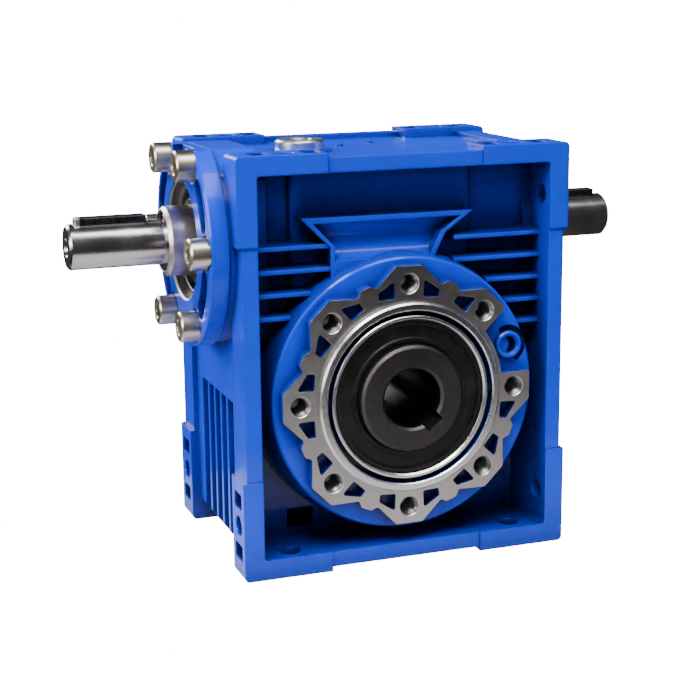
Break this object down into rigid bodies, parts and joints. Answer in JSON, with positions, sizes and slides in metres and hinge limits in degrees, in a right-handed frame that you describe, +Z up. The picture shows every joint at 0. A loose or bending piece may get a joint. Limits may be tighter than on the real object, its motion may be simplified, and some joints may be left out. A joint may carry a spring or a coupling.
{
  "type": "industrial gearbox",
  "caption": "Right-angle worm reducer with keyed solid input shaft ends, a hollow keyed output bore and a cast housing framed for mounting on its sides.",
  "frame": {"origin": "middle of the hollow output shaft's bore", "axes": "+X along the worm shaft toward the short input end, +Y along the output bore away from the seen face, +Z up from the feet"},
  "size_m": [0.245, 0.112, 0.175],
  "materials": {
    "casting_blue": "glossy blue enamel over die-cast aluminium; flange faces machined bare",
    "screw_zinc": "yellowish zinc-plated steel",
    "plug_steel": "bright zinc-plated steel",
    "shaft_steel": "ground steel",
    "hub_iron": "dark oiled, blackened iron",
    "bronze": "hobbed tin bronze",
    "seal_rubber": "black nitrile rubber",
    "gasket": "compressed fibre sheet",
    "bearing_steel": "ground bearing steel",
    "cage_steel": "pressed steel",
    "key_steel": "dark drawn steel",
    "washer_aluminium": "soft bare aluminium"
  },
  "bodies": {
    "casing": {"housing": "casting_blue", "side_cover": "casting_blue", "side_cover_gasket": "gasket", "side_cover_screws": "screw_zinc", "cover_dowels": "bearing_steel", "input_cover": "casting_blue", "input_cover_gasket": "gasket", "input_cover_screws": "screw_zinc", "worm_seal_left": "seal_rubber", "worm_seal_right": "seal_rubber", "output_seal_front": "seal_rubber", "output_seal_rear": "seal_rubber", "filler_plug": "plug_steel", "filler_washer": "washer_aluminium", "level_plug": "plug_steel", "drain_plug": "plug_steel", "bearing_circlip": "cage_steel", "output_bearing_front_outer": "bearing_steel", "output_bearing_rear_outer": "bearing_steel", "worm_bearing_left_outer": "bearing_steel", "worm_bearing_right_outer": "bearing_steel"},
    "output": {"output_hub": "hub_iron", "worm_wheel": "bronze", "rim_lock_pins": "bearing_steel", "output_bearing_front_inner": "bearing_steel", "output_bearing_rear_inner": "bearing_steel"},
    "worm": {"worm_shaft": "shaft_steel", "worm_collar": "shaft_steel", "worm_key_left": "key_steel", "worm_key_right": "key_steel", "worm_bearing_left_inner": "bearing_steel", "worm_bearing_right_inner": "bearing_steel"},
    "cage_output_front": {"output_bearing_front_balls": "bearing_steel", "output_bearing_front_cage": "cage_steel"},
    "cage_output_rear": {"output_bearing_rear_balls": "bearing_steel", "output_bearing_rear_cage": "cage_steel"},
    "cage_worm_left": {"worm_bearing_left_balls": "bearing_steel", "worm_bearing_left_cage": "cage_steel"},
    "cage_worm_right": {"worm_bearing_right_balls": "bearing_steel", "worm_bearing_right_cage": "cage_steel"}
  },
  "joints": [
    {"name": "output_spin", "type": "hinge", "parent": "casing", "child": "output", "pos_m": [0, 0, 0], "axis": [0, 1, 0], "continuous": true},
    {"name": "worm_spin", "type": "hinge", "parent": "casing", "child": "worm", "pos_m": [0, 0, 0.063], "axis": [1, 0, 0], "continuous": true},
    {"name": "cage_output_front_spin", "type": "hinge", "parent": "casing", "child": "cage_output_front", "pos_m": [0, 0, 0], "axis": [0, 1, 0], "continuous": true},
    {"name": "cage_output_rear_spin", "type": "hinge", "parent": "casing", "child": "cage_output_rear", "pos_m": [0, 0, 0], "axis": [0, 1, 0], "continuous": true},
    {"name": "cage_worm_left_spin", "type": "hinge", "parent": "casing", "child": "cage_worm_left", "pos_m": [0, 0, 0.063], "axis": [1, 0, 0], "continuous": true},
    {"name": "cage_worm_right_spin", "type": "hinge", "parent": "casing", "child": "cage_worm_right", "pos_m": [0, 0, 0.063], "axis": [1, 0, 0], "continuous": true}
  ],
  "couplings": [
    {"joint": "worm_spin", "follows": "output_spin", "ratio": -30},
    {"joint": "cage_output_front_spin", "follows": "output_spin", "ratio": 0.42717},
    {"joint": "cage_output_rear_spin", "follows": "output_spin", "ratio": 0.42717},
    {"joint": "cage_worm_left_spin", "follows": "output_spin", "ratio": -11.906},
    {"joint": "cage_worm_right_spin", "follows": "output_spin", "ratio": -11.906}
  ]
}
